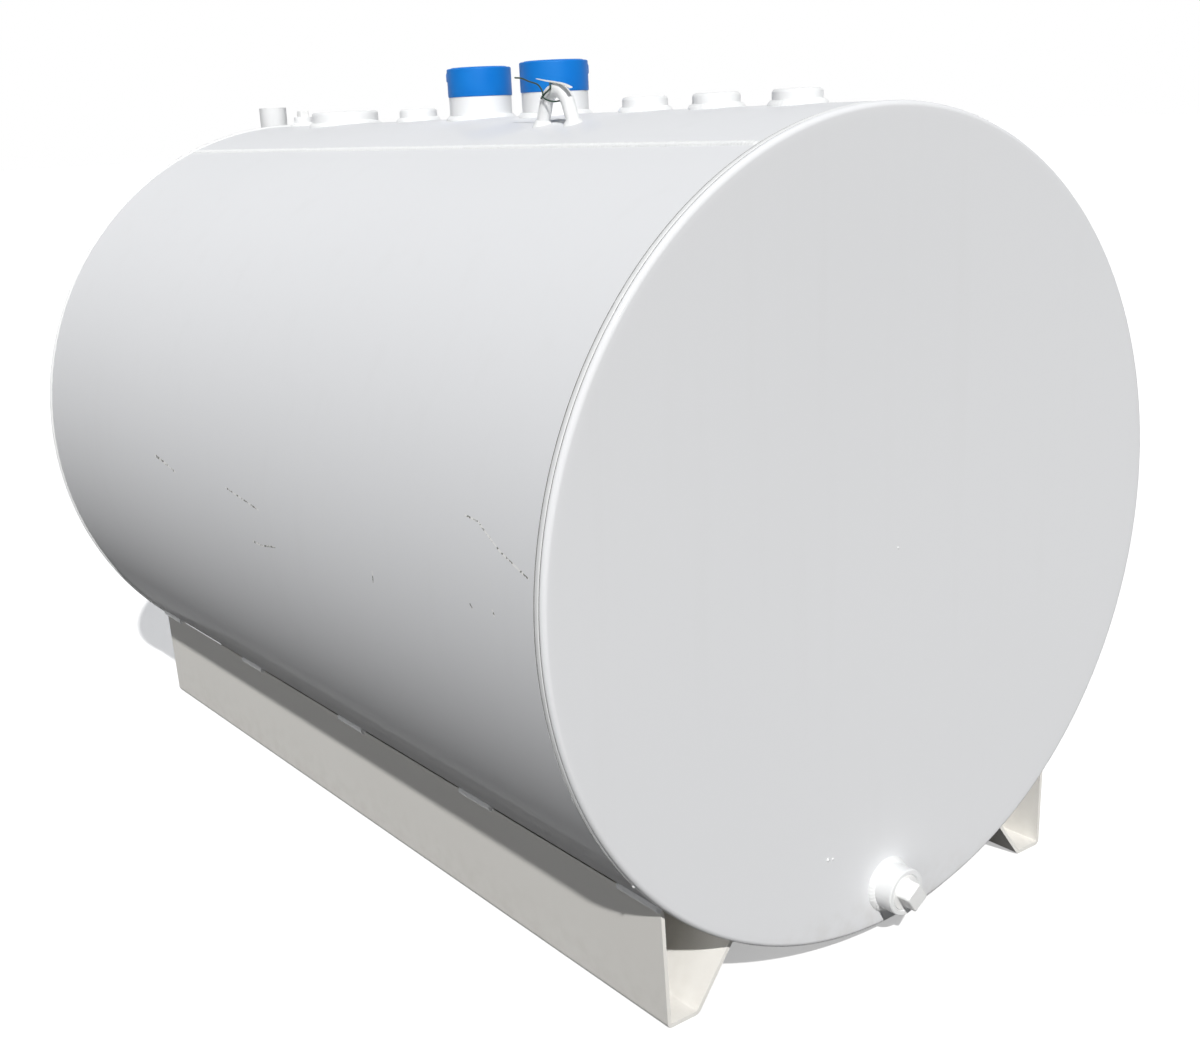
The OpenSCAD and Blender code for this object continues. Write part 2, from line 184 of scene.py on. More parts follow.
class NodeSheet:
    """Places nodes in one tree and joins their sockets."""

    def __init__(self, tree: bpy.types.NodeTree) -> None:
        """Keeps the tree that the nodes go into."""
        self.tree = tree

    def add(self, kind: str, feeds: Feeds | None = None, **settings: object) -> Node:
        """Adds one node.

        Args:
            kind: type name of the node.
            feeds: what each input is set to or joined to.
            settings: properties of the node itself.

        Returns:
            The new node.
        """
        node = self.tree.nodes.new(kind)
        for key, value in settings.items():
            setattr(node, key, value)
        for key, value in (feeds or {}).items():
            self.feed(node.inputs[key], value)
        return node

    def feed(self, socket: Socket, value: Source) -> None:
        """Joins a socket to another one, or sets its own value.

        Args:
            socket: the input.
            value: the other socket or the value.
        """
        if isinstance(value, Socket):
            self.tree.links.new(value, socket)
        else:
            socket.default_value = value

    def calc(self, operation: str, *values: Source) -> Socket:
        """Adds a Math node and gives its result."""
        feeds = dict(enumerate(values))
        return self.add("ShaderNodeMath", feeds, operation=operation).outputs[0]

    def vector(self, operation: str, *values: Source) -> Node:
        """Adds a Vector Math node."""
        feeds = dict(enumerate(values))
        return self.add("ShaderNodeVectorMath", feeds, operation=operation)

    def blend(self, share: Source, first: Source, second: Source) -> Socket:
        """Mixes two colours and gives the result."""
        feeds = dict(zip(MIX_INPUTS, (share, first, second)))
        return self.add("ShaderNodeMix", feeds, data_type="RGBA").outputs[MIX_RESULT]

    def ramp(self, value: Source, low: float, high: float) -> Socket:
        """Gives a smooth share from 0 at low to 1 at high."""
        feeds = {0: value, 1: low, 2: high, 3: 0.0, 4: 1.0}
        return self.add("ShaderNodeMapRange", feeds, interpolation_type="SMOOTHSTEP").outputs[0]

    def noise(self, place: Source, scale: Source, detail: float) -> Socket:
        """Gives a noise value between 0 and 1."""
        feeds = {"Vector": place, "Scale": scale, "Detail": detail, "Roughness": NOISE_ROUGHNESS}
        return self.add("ShaderNodeTexNoise", feeds).outputs[0]

    def place(self) -> Socket:
        """Gives the place on the object, in metres."""
        return self.add("ShaderNodeTexCoord").outputs["Object"]


class MaterialSheet(NodeSheet):
    """The nodes of a new material with its one shader."""

    def __init__(self, name: str) -> None:
        """Makes the material.

        Args:
            name: name of the material.
        """
        self.material = bpy.data.materials.new(name)
        self.material.use_nodes = True
        super().__init__(self.material.node_tree)

    def shade(self, feeds: dict[str, Source]) -> None:
        """Sets or joins inputs of the shader.

        Args:
            feeds: what each input is set to or joined to.
        """
        shader = self.tree.nodes["Principled BSDF"]
        for key, value in feeds.items():
            self.feed(shader.inputs[key], value)


class Effect:
    """A shader node group that several finishes share."""

    def __init__(
        self, name: str, inputs: dict[str, SocketKind], outputs: dict[str, SocketKind]
    ) -> None:
        """Makes the group with its sockets.

        Args:
            name: name of the group.
            inputs: type of each input.
            outputs: type of each output.
        """
        self.tree = bpy.data.node_groups.new(name, "ShaderNodeTree")
        for way, sockets in (("INPUT", inputs), ("OUTPUT", outputs)):
            for label, kind in sockets.items():
                self.tree.interface.new_socket(name=label, in_out=way, socket_type=kind.value)
        self.sheet = NodeSheet(self.tree)
        self.given = self.sheet.add("NodeGroupInput").outputs
        self.result = self.sheet.add("NodeGroupOutput").inputs

    def use(self, sheet: NodeSheet, feeds: Feeds) -> Node:
        """Places the group in a material with its own values."""
        return sheet.add("ShaderNodeGroup", feeds, node_tree=self.tree)


class TintEffect(Effect):
    """An effect that lays a tint over a colour by a mask."""

    def __init__(self, name: str) -> None:
        """Makes the group with its sockets.

        Args:
            name: name of the group.
        """
        colours = dict.fromkeys(("Colour", "Tint"), SocketKind.COLOUR)
        values = dict.fromkeys(("Size", "Amount"), SocketKind.VALUE)
        results = {"Colour": SocketKind.COLOUR, "Mask": SocketKind.VALUE}
        super().__init__(name, colours | values, results)

    def lay(self, mask: Socket) -> None:
        """Lays the tint by a mask and gives out the colour and the mask.

        Args:
            mask: share of the tint.
        """
        share = self.sheet.calc("MULTIPLY", mask, self.given["Amount"])
        colour = self.sheet.blend(share, self.given["Colour"], self.given["Tint"])
        self.sheet.feed(self.result["Colour"], colour)
        self.sheet.feed(self.result["Mask"], mask)

    def over(
        self, sheet: NodeSheet, colour: Source, tint: Colour, size: float, amount: float
    ) -> Node:
        """Places the effect over a colour in a material."""
        feeds = {"Colour": colour, "Tint": tint, "Size": size, "Amount": amount}
        return self.use(sheet, feeds)


class UnevenPaint(TintEffect):
    """Slow changes of colour and gloss across a coat of paint."""

    limits: Pair = (0.25, 0.75)

    def __init__(self) -> None:
        """Builds the group."""
        super().__init__("uneven_paint")
        broad = self.sheet.noise(self.sheet.place(), self.given["Size"], detail=1.0)
        self.lay(self.sheet.ramp(broad, *self.limits))


class GroundSplash(TintEffect):
    """Dust and dried splashes that thin out above the ground."""

    spot_scale: float = 38.0
    spot_limits: Pair = (0.35, 0.75)

    def __init__(self) -> None:
        """Builds the group."""
        super().__init__("ground_splash")
        sheet = self.sheet
        place = sheet.place()
        height = sheet.add("ShaderNodeSeparateXYZ", {0: place}).outputs[2]
        level = sheet.calc("DIVIDE", height, self.given["Size"])
        near = sheet.calc("SUBTRACT", 1.0, sheet.ramp(level, 0.0, 1.0))
        spots = sheet.ramp(sheet.noise(place, self.spot_scale, detail=5.0), *self.spot_limits)
        self.lay(sheet.calc("MULTIPLY", near, spots))


class RainStreaks(TintEffect):
    """Faint upright streaks that rain leaves on paint."""

    squash: Place = (1.0, 1.0, 0.06)
    limits: Pair = (0.52, 0.8)

    def __init__(self) -> None:
        """Builds the group."""
        super().__init__("rain_streaks")
        sheet = self.sheet
        drawn = sheet.vector("MULTIPLY", sheet.place(), self.squash).outputs[0]
        self.lay(sheet.ramp(sheet.noise(drawn, self.given["Size"], detail=4.0), *self.limits))


class PaintRelief(Effect):
    """Slight waves of the plate and the fine peel of sprayed paint, in millimetres."""

    labels: tuple[str, ...] = ("Wave scale", "Wave height", "Peel scale", "Peel height")

    def __init__(self) -> None:
        """Builds the group."""
        inputs = dict.fromkeys(self.labels, SocketKind.VALUE)
        super().__init__("paint_relief", inputs, {"Height": SocketKind.VALUE})
        sheet = self.sheet
        place = sheet.place()
        wave = sheet.noise(place, self.given["Wave scale"], detail=1.0)
        peel = sheet.noise(place, self.given["Peel scale"], detail=2.0)
        wave_part = sheet.calc("MULTIPLY", wave, self.given["Wave height"])
        height = sheet.calc("MULTIPLY_ADD", peel, self.given["Peel height"], wave_part)
        sheet.feed(self.result["Height"], height)

    def bump(self, sheet: NodeSheet, wave: Pair, peel: Pair) -> Socket:
        """Places the relief in a material as a bump.

        Args:
            sheet: nodes of the material.
            wave: scale and height of the waves.
            peel: scale and height of the peel.

        Returns:
            The bumped normal.
        """
        relief = self.use(sheet, dict(zip(self.labels, (*wave, *peel))))
        feeds = {"Strength": 1.0, "Distance": MILLIMETRE, "Height": relief.outputs["Height"]}
        return sheet.add("ShaderNodeBump", feeds).outputs[0]


class ScuffLine(Effect):
    """A thin scuff from one place to another, with dark flecks in it."""

    break_scale: float = 90.0
    break_gain: float = 1.6
    break_least: float = 0.2
    edge_limits: Pair = (0.5, 0.8)
    fleck_scale: float = 150.0
    fleck_limits: Pair = (0.5, 0.58)

    def __init__(self) -> None:
        """Builds the group."""
        places = dict.fromkeys(("Start", "End"), SocketKind.PLACE)
        results = dict.fromkeys(("Mask", "Flecks"), SocketKind.VALUE)
        super().__init__("scuff_line", places | {"Width": SocketKind.VALUE}, results)
        sheet = self.sheet
        place = sheet.place()
        along = sheet.vector("SUBTRACT", self.given["End"], self.given["Start"]).outputs[0]
        reach = sheet.vector("SUBTRACT", place, self.given["Start"]).outputs[0]
        travel = sheet.vector("DOT_PRODUCT", reach, along).outputs["Value"]
        square = sheet.vector("DOT_PRODUCT", along, along).outputs["Value"]
        share = sheet.calc("DIVIDE", travel, square)
        limited = sheet.add("ShaderNodeClamp", {0: share, 1: 0.0, 2: 1.0}).outputs[0]
        scaled = sheet.add("ShaderNodeVectorMath", {0: along, "Scale": limited}, operation="SCALE")
        away = sheet.vector("DISTANCE", reach, scaled.outputs[0]).outputs["Value"]
        breaks = sheet.noise(place, self.break_scale, detail=3.0)
        broken = sheet.calc("MULTIPLY_ADD", breaks, self.break_gain, self.break_least)
        width = sheet.calc("MULTIPLY", self.given["Width"], broken)
        edge = sheet.ramp(sheet.calc("DIVIDE", away, width), *self.edge_limits)
        mask = sheet.calc("SUBTRACT", 1.0, edge)
        flecks = sheet.ramp(sheet.noise(place, self.fleck_scale, detail=2.0), *self.fleck_limits)
        sheet.feed(self.result["Mask"], mask)
        sheet.feed(self.result["Flecks"], sheet.calc("MULTIPLY", mask, flecks))


class Effects:
    """Every shared effect, built once."""

    def __init__(self) -> None:
        """Builds the node groups."""
        self.uneven = UnevenPaint()
        self.splash = GroundSplash()
        self.streaks = RainStreaks()
        self.relief = PaintRelief()
        self.scuff = ScuffLine()


@dataclass(frozen=True)
class Scuff:
    """One scuff on the near side of the shell.

    Each end is a length along the tank, in metres, and an angle from the top, in degrees.
    """

    start: Pair
    end: Pair
    width: float

    def feeds(self) -> Feeds:
        """Gives the inputs of the scuff's node group."""
        start, end = (SHELL.at(x, radians(angle)) for x, angle in (self.start, self.end))
        return {"Start": start, "End": end, "Width": self.width}


@dataclass(frozen=True)
class Finish:
    """Plastic, wire coating or the dark painted shade of the weld toe grooves, with slight changes
    of colour.

    Waves and peel are a scale and a height in millimetres.
    """

    name: str
    colour: Colour
    shade: Colour
    mottle_scale: float = 16.0
    mottle: float = 0.45
    roughness: float = 0.45
    rough_spread: float = 0.12
    specular: float = 0.25
    wave: Pair = (30.0, 0.05)
    peel: Pair = (900.0, 0.004)

    def layers(self, sheet: NodeSheet, effects: Effects) -> dict[str, Source]:
        """Lays the colours.

        Args:
            sheet: nodes of the material.
            effects: the shared node groups.

        Returns:
            The shader's inputs, without the relief.
        """
        uneven = effects.uneven.over(sheet, self.colour, self.shade, self.mottle_scale, self.mottle)
        gloss = (uneven.outputs["Mask"], self.rough_spread, self.roughness)
        return {
            "Base Color": uneven.outputs["Colour"],
            "Roughness": sheet.calc("MULTIPLY_ADD", *gloss),
            "Specular IOR Level": self.specular,
        }

    def material(self, effects: Effects) -> bpy.types.Material:
        """Builds the material.

        Args:
            effects: the shared node groups.

        Returns:
            The finished material.
        """
        sheet = MaterialSheet(self.name)
        sheet.shade(self.layers(sheet, effects))
        sheet.shade({"Normal": effects.relief.bump(sheet, self.wave, self.peel)})
        return sheet.material


@dataclass(frozen=True)
class PaintFinish(Finish):
    """A coat of sprayed paint on steel."""

    mottle_scale: float = 3.0
    mottle: float = 0.3
    roughness: float = 0.4
    rough_spread: float = 0.03
    specular: float = 0.2
    wave: Pair = (3.0, 0.25)
    peel: Pair = (140.0, 0.0008)
    dirt: Colour = tone(176, 168, 154)
    coat: float = 0.05
    coat_roughness: float = 0.15
    splash_reach: float = 0.12
    splash: float = 0.22
    splash_dull: float = 0.25
    streak_scale: float = 22.0
    streaks: float = 0.02
    scuff_colour: Colour = tone(248, 248, 247)
    scuff_fleck: Colour = tone(124, 123, 119)
    scuffs: tuple[Scuff, ...] = ()

    def layers(self, sheet: NodeSheet, effects: Effects) -> dict[str, Source]:
        """Lays the paint, the dirt and the scuffs.

        Args:
            sheet: nodes of the material.
            effects: the shared node groups.

        Returns:
            The shader's inputs, without the relief.
        """
        feeds = super().layers(sheet, effects)
        streaked = effects.streaks.over(
            sheet, feeds["Base Color"], self.dirt, self.streak_scale, self.streaks
        )
        splashed = effects.splash.over(
            sheet, streaked.outputs["Colour"], self.dirt, self.splash_reach, self.splash
        )
        colour = splashed.outputs["Colour"]
        for scuff in self.scuffs:
            line = effects.scuff.use(sheet, scuff.feeds())
            colour = sheet.blend(line.outputs["Mask"], colour, self.scuff_colour)
            colour = sheet.blend(line.outputs["Flecks"], colour, self.scuff_fleck)
        gloss = (splashed.outputs["Mask"], self.splash_dull, feeds["Roughness"])
        return feeds | {
            "Base Color": colour,
            "Roughness": sheet.calc("MULTIPLY_ADD", *gloss),
            "Coat Weight": self.coat,
            "Coat Roughness": self.coat_roughness,
        }


PAINT_WHITE = tone(236, 237, 239)
PAINT_GREY = tone(230, 231, 233)
WARM_WHITE = tone(245, 243, 238)
WARM_GREY = tone(238, 235, 229)
BRIGHT_WHITE = tone(237, 238, 238)

FLANK_SCUFFS = (
    Scuff((-0.306, 86.0), (-0.246, 87.0), 0.0035),
    Scuff((-0.246, 87.0), (-0.214, 87.6), 0.0022),
    Scuff((0.004, 86.7), (0.130, 88.2), 0.0018),
    Scuff((0.094, 93.8), (0.127, 93.9), 0.0030),
    Scuff((0.127, 93.9), (0.179, 93.1), 0.0022),
    Scuff((0.744, 78.3), (0.776, 78.6), 0.0016),
    Scuff((0.776, 78.6), (0.830, 81.2), 0.0020),
    Scuff((0.830, 81.2), (0.893, 83.1), 0.0020),
    Scuff((0.502, 90.2), (0.502, 91.7), 0.0018),
    Scuff((0.762, 89.0), (0.766, 89.4), 0.0020),
    Scuff((0.814, 88.6), (0.818, 89.2), 0.0020),
)

FINISHES: dict[Slot | Trim, Finish] = {
    Slot.TANK: PaintFinish(
        "tank_white",
        PAINT_WHITE,
        PAINT_GREY,
        mottle_scale=1.3,
        specular=0.0,
        coat=0.12,
        coat_roughness=0.08,
        scuffs=FLANK_SCUFFS,
    ),
    Slot.SKID: PaintFinish(
        "skid_white", WARM_WHITE, WARM_GREY, roughness=0.6, specular=0.0, splash=0.1, streaks=0.0
    ),
    Slot.FITTING: PaintFinish(
        "fitting_white", BRIGHT_WHITE, PAINT_WHITE, mottle_scale=20.0, wave=(60.0, 0.04)
    ),
    Slot.WELD: PaintFinish(
        "weld_white", BRIGHT_WHITE, PAINT_GREY, mottle_scale=45.0, roughness=0.34, wave=(170.0, 0.15)
    ),
    Slot.PLUG: PaintFinish(
        "plug_white", BRIGHT_WHITE, WARM_WHITE, mottle_scale=40.0, wave=(130.0, 0.5)
    ),
    Slot.LUG: PaintFinish(
        "lug_white", BRIGHT_WHITE, PAINT_GREY, mottle_scale=30.0, wave=(60.0, 0.08)
    ),
    Slot.CAP: Finish("cap_blue", tone(4, 116, 206), tone(24, 130, 214)),
    # Dark grey painted shade for the toe grooves of the head beads
    Trim.TOE: Finish("toe_dirt", tone(122, 121, 118), tone(150, 149, 145), roughness=0.8),
    Trim.WIRE: Finish("wire_green", tone(34, 58, 48), tone(52, 74, 60), roughness=0.42),
    Trim.TAG: Finish("tag_white", tone(236, 236, 234), tone(222, 221, 216), roughness=0.4),
}


class MeshMaker:
    """Collects points and faces for one piece."""

    def __init__(self) -> None:
        """Starts with nothing."""
        self.points: list[Vector] = []
        self.faces: list[tuple[int, ...]] = []

    def grid(self, rows: Rows, ring: bool = False, loop: bool = False) -> None:
        """Adds a sheet of four-sided faces.

        Args:
            rows: rows of points, each as long as the others.
            ring: whether each row closes on itself.
            loop: whether the last row joins the first.
        """
        start = len(self.points)
        width = len(rows[0])
        for row in rows:
            self.points.extend(row)
        row_count = len(rows) if loop else len(rows) - 1
        column_count = width if ring else width - 1
        for row in range(row_count):
            base = start + row * width
            over = start + (row + 1) % len(rows) * width
            for column in range(column_count):
                after = (column + 1) % width
                self.faces.append((base + column, base + after, over + after, over + column))

    def lid(self, ring: Sequence[Vector]) -> None:
        """Closes a ring of points with one face."""
        self.points.extend(ring)
        self.faces.append(tuple(range(len(self.points) - len(ring), len(self.points))))

    def bar(self, rows: Rows) -> None:
        """Adds a closed bar.

        Args:
            rows: the rings along it.
        """
        self.grid(rows, ring=True)
        self.lid(list(reversed(rows[0])))
        self.lid(rows[-1])

    def spin(self, profile: Profile, place: Matrix, segments: int) -> None:
        """Turns a profile of radii and heights about the axis of a place."""
        rows = [circle(radius, height, place, segments) for radius, height in profile]
        self.grid(rows, ring=True)

    def tube(self, path: Sequence[Vector], radius: float, sides: int = 10) -> None:
        """Sweeps a round bar along a path.

        Args:
            path: middle line of the bar.
            radius: radius of the bar.
            sides: faces round the bar.
        """
        rows = []
        across = Vector((0.0, 0.0, 1.0))
        for number, spot in enumerate(path):
            before = path[max(0, number - 1)]
            after = path[min(len(path) - 1, number + 1)]
            ahead = (after - before).normalized()
            across = (across - ahead * across.dot(ahead)).normalized()
            turned = Matrix((across, ahead.cross(across), ahead)).transposed().to_4x4()
            rows.append(circle(radius, 0.0, Matrix.Translation(spot) @ turned, sides))
        self.bar(rows)

    def piece(self, name: str, smooth: bool = True) -> bpy.types.Object:
        """Makes the object.

        Args:
            name: name of the piece.
            smooth: whether its faces are shaded smooth.

        Returns:
            The new object, linked to the scene.
        """
        mesh = bpy.data.meshes.new(name)
        mesh.from_pydata([tuple(spot) for spot in self.points], [], self.faces)
        mesh.validate()
        if smooth:
            mesh.shade_smooth()
        return add_object(name, mesh)


def smooth_path(points: Sequence[Place], steps: int = 8) -> list[Vector]:
    """Draws a smooth line through points.

    Args:
        points: the points, in order.
        steps: pieces between two points.

    Returns:
        The points of the smooth line.
    """
    spots = [Vector(point) for point in points]
    ends = [spots[0] * 2 - spots[1], *spots, spots[-1] * 2 - spots[-2]]
    line = []
    for number in range(1, len(ends) - 2):
        first, start, end, last = ends[number - 1 : number + 3]
        for step in range(steps):
            share = step / steps
            bend = (first * 2 - start * 5 + end * 4 - last) * share**2
            twist = (start * 3 - first - end * 3 + last) * share**3
            line.append(0.5 * (start * 2 + (end - first) * share + bend + twist))
    line.append(spots[-1])
    return line


@dataclass(frozen=True)
class BeadSpot:
    """One station of a weld bead: its two toes and the way it faces."""

    low: Vector
    high: Vector
    outward: Vector


BeadLine = Callable[[float], BeadSpot]


@dataclass(frozen=True)
class Bead:
    """A rippled weld bead."""

    height: float = 0.0026
    pitch: float = 0.0065
    ripple: float = 0.2
    lag: float = 0.35
    spread: float = 0.16
    sway: float = 0.06
    least_ripples: int = 6
    fade_ripples: float = 1.5
    fade_start: float = 0.02
    end_width: float = 0.55
    steps: int = 5
    columns: int = 7
    seed: int = 1

    def lay(self, maker: MeshMaker, line: BeadLine, length: float, closed: bool) -> None:
        """Lays the bead along a line.

        Args:
            maker: takes the points and faces.
            line: gives the station at a share of the length.
            length: length of the bead.
            closed: whether the bead joins its own start.
        """
        dice = random.Random(self.seed)
        ripples = max(self.least_ripples, round(length / self.pitch))
        sizes = [1 + dice.uniform(-self.spread, self.spread) for _ in range(ripples + 1)]
        count = ripples * self.steps
        rows = []
        for station in range(count if closed else count + 1):
            spot = line(station / count)
            wave = station / self.steps
            size = sizes[int(wave) % len(sizes)]
            fade = 1.0
            if not closed:
                ends = min(station, count - station) / self.steps
                fade = min(1.0, sqrt(ends / self.fade_ripples + self.fade_start))
            middle = (spot.low + spot.high) / 2
            narrow = self.end_width + (1 - self.end_width) * fade
            half = (spot.high - spot.low) / 2 * narrow
            row = []
            for column in range(self.columns):
                side = 2 * column / (self.columns - 1) - 1
                crown = 1 - side * side
                beat = cos(FULL_TURN * (wave - self.lag * crown))
                rise = self.height * size * fade * sqrt(crown) * (1 + self.ripple * beat)
                across = half * (side * (1 + self.sway * beat))
                row.append(middle + across + spot.outward * rise)
            rows.append(row)
        maker.grid(rows, loop=closed)


@dataclass
class SubAssembly:
    """What every sub-assembly needs: its finishes and the way to add a piece that rides on the tank.
    """

    materials: dict[Slot | Trim, bpy.types.Material]

    def dress(self, slot: Slot, *nodes: str) -> None:
        """Gives CAD nodes a finish.

        Args:
            slot: the finish.
            nodes: names of the nodes.
        """
        for node in nodes:
            mesh = frame["nodes"][node].data
            mesh.materials.clear()
            mesh.materials.append(self.materials[slot])
            LOG.info("dressed %s in %s", node, slot.value)

    def hand_in(
        self,
        maker: MeshMaker,
        name: str,
        finish: Slot | Trim,
        replaced: Sequence[str] = (),
        smooth: bool = True,
    ) -> None:
        """Turns collected points into a piece that rides on the tank.

        Args:
            maker: the points and faces.
            name: name of the piece.
            finish: its finish.
            replaced: CAD nodes that it stands for.
            smooth: whether it is shaded smooth.
        """
        made = maker.piece(name, smooth)
        made.data.materials.append(self.materials[finish])
        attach(made, BODY)
        if replaced:
            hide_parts(*replaced)
        LOG.info("built %s with %d faces", name, len(maker.faces))


@dataclass(frozen=True)
class TankEnd:
    """One end of the tank: the way it faces and the height of its bead over the shell."""

    name: str
    way: float
    rise: float

    def pick(self, back: float, front: float) -> float:
        """Gives the value that belongs to this end."""
        return front if self.way > 0 else back


@dataclass
class TankBody(SubAssembly):
    """Shell and heads with their weld beads."""

    seam_angle: float = radians(22)
    seam_width: float = 0.013
    seam_bead: Bead = Bead(height=0.003, seed=3)
    knuckle: float = 0.008
    knuckle_steps: int = 10
    flat_rings: tuple[float, ...] = (0.0002, 0.3, 0.6, 0.9, 0.985)
    strip_width: float = 0.012
    toe_width: float = 0.0013
    toe_depth: float = 0.0003
    ends: tuple[TankEnd, ...] = (TankEnd("front", 1.0, 0.0004), TankEnd("back", -1.0, 0.0032))
    crest_share: float = 0.75
    head_segments: int = 288
    drop_squash: float = 0.7
    drop_levels: int = 6
    drop_gap: float = 0.02
    drop_segments: int = 12
    # Place and radius of each drop
    spatter: tuple[tuple[float, float, float, float], ...] = (
        (0.9123, -0.4788, 0.2563, 0.0032),
        (0.9249, -0.1292, 0.1748, 0.0030),
        (0.9249, -0.1188, 0.1727, 0.0022),
        (0.9249, 0.0151, 0.6210, 0.0018),
    )

    def seam(self) -> None:
        """Lays the bead of the long lap seam."""
        outward = SHELL.at(0.0, self.seam_angle) - SHELL.at(0.0, self.seam_angle, -1.0)
        half = self.seam_width / 2 / SHELL.radius
        length = SHELL.front - SHELL.back

        def line(share: float) -> BeadSpot:
            """Gives one station.

            Args:
                share: how far along the bead it is.

            Returns:
                The station.
            """
            x = SHELL.back + length * share
            toes = (SHELL.at(x, self.seam_angle + side, -3 * HAIR) for side in (half, -half))
            return BeadSpot(*toes, outward)

        maker = MeshMaker()
        self.seam_bead.lay(maker, line, length, False)
        self.hand_in(maker, "seam_bead", Slot.WELD, ["shell_seam"])

    def head(self, end: TankEnd) -> None:
        """Presses a flat head with a small knuckle at its rim.

        Args:
            end: the end that it closes.
        """
        node = f"{end.name}_head"
        low, high, _ = extent(node)
        flat = SHELL.radius - self.knuckle
        profile = [(share * flat, 0.0) for share in self.flat_rings]
        profile += corner((flat, -self.knuckle), self.knuckle, self.knuckle_steps)
        profile.append((SHELL.radius - self.toe_depth, -self.knuckle - 2 * HAIR))
        maker = MeshMaker()
        maker.spin(profile, SHELL.end_axis(end.pick(low.x, high.x), end.way), self.head_segments)
        self.hand_in(maker, f"{node}_pressed", Slot.TANK, [node])

    def head_bead(self, end: TankEnd) -> None:
        """Lays the bead between the shell and a head, with thin dark bands of painted shade along
        both toes.

        Args:
            end: the end that it runs round.
        """
        name = f"{end.name}_head_bead"
        inner = SHELL.radius - self.toe_depth
        shoulder = SHELL.radius + end.rise * self.crest_share
        first = self.toe_width
        last = self.strip_width - self.toe_width
        middle = self.strip_width / 2
        profile = [(inner - 2 * HAIR, first), (SHELL.radius, first + 3 * HAIR)]
        profile += [(shoulder, (first + middle) / 2), (SHELL.radius + end.rise, middle)]
        profile += [(shoulder, (middle + last) / 2), (SHELL.radius, last - 3 * HAIR)]
        profile.append((inner - 2 * HAIR, last))
        place = SHELL.end_axis(end.pick(SHELL.back, SHELL.front), end.way)
        maker = MeshMaker()
        maker.spin(profile, place, self.head_segments)
        self.hand_in(maker, name, Slot.WELD, [f"{end.name}_head_weld"])
        # Thin dark rings sunk in both toe grooves: painted shade of the grooves
        toes = MeshMaker()
        for start, stop in ((-2 * HAIR, first + 2 * HAIR), (last - 2 * HAIR, self.strip_width)):
            toes.spin([(inner, start), (inner, stop)], place, self.head_segments)
        self.hand_in(toes, f"{name}_toes", Trim.TOE)

    def spatter_drops(self) -> None:
        """Adds the few drops of weld spatter under the paint."""
        maker = MeshMaker()
        for x, y, z, size in self.spatter:
            profile = []
            for level in range(self.drop_levels + 1):
                tilt = pi * (level + self.drop_gap) / (self.drop_levels + 2 * self.drop_gap)
                profile.append((size * sin(tilt), size * self.drop_squash * cos(tilt)))
            place = Matrix.Translation((x, y, z)) @ Matrix.Rotation(QUARTER_TURN, 4, "Y")
            maker.spin(profile, place, self.drop_segments)
        self.hand_in(maker, "spatter_drops", Slot.WELD)

    def build(self) -> None:
        """Dresses the plates and lays their beads."""
        self.dress(Slot.TANK, "shell")
        self.seam()
        for work in (self.head, self.head_bead):
            for end in self.ends:
                work(end)
        self.spatter_drops()


@dataclass
class Skids(SubAssembly):
    """The two folded skids and their stitch welds."""

    def build(self) -> None:
        """Dresses the skids and their welds."""
        self.dress(Slot.SKID, "left_skid", "right_skid")
        self.dress(Slot.WELD, "left_skid_welds", "right_skid_welds")


@dataclass(frozen=True)
class SquarePlug:
    """A cast pipe plug with a square head."""

    bore: float
    square: float
    tall: float
    bevel: float = 0.0022
    bevel_share: float = 0.3
    uneven: float = 0.0003
    rim: float = 0.001
    sunk: float = 0.0004
    thread: float = 0.004
    shares: tuple[float, ...] = (1.06, 1.0, 0.985, 0.97, 0.93, 0.86)
    corner: int = 10
    points: int = 64
    seed: int = 41

    def ring(self, height: float, share: float, place: Matrix, dice: random.Random) -> list[Vector]:
        """Gives one level of the rounded square.

        Args:
            height: level above the mouth of the coupling.
            share: width as a share of the full square.
            place: where the mouth is and the way it faces.
            dice: the unevenness of the casting.

        Returns:
            The points of the level.
        """
        row = []
        for step in range(self.points):
            angle = FULL_TURN * step / self.points
            wide = abs(cos(angle)) ** self.corner + abs(sin(angle)) ** self.corner
            reach = self.square / 2 * share / wide ** (1 / self.corner)
            reach += dice.uniform(-self.uneven, self.uneven)
            row.append(place @ Vector((reach * cos(angle), reach * sin(angle), height)))
        return row

    def cast(self, maker: MeshMaker, place: Matrix) -> None:
        """Casts the plug into a mouth.

        Args:
            maker: takes the points and faces.
            place: where the mouth is and the way it faces.
        """
        dice = random.Random(self.seed)
        wall = self.bore - 2 * HAIR
        floor = self.bore - self.rim
        collar = [(wall, -self.thread), (wall, -3 * self.sunk), (floor, -self.sunk)]
        maker.spin(collar, place, self.points)
        top = self.tall
        round_level = top - self.bevel * self.bevel_share
        levels = [-self.sunk, 3 * self.sunk, top / 2, top - self.bevel, round_level, top]
        rows = [self.ring(*level, place, dice) for level in zip(levels, self.shares)]
        maker.grid([circle(floor, -self.sunk, place, self.points), *rows], ring=True)
        maker.lid(rows[-1])


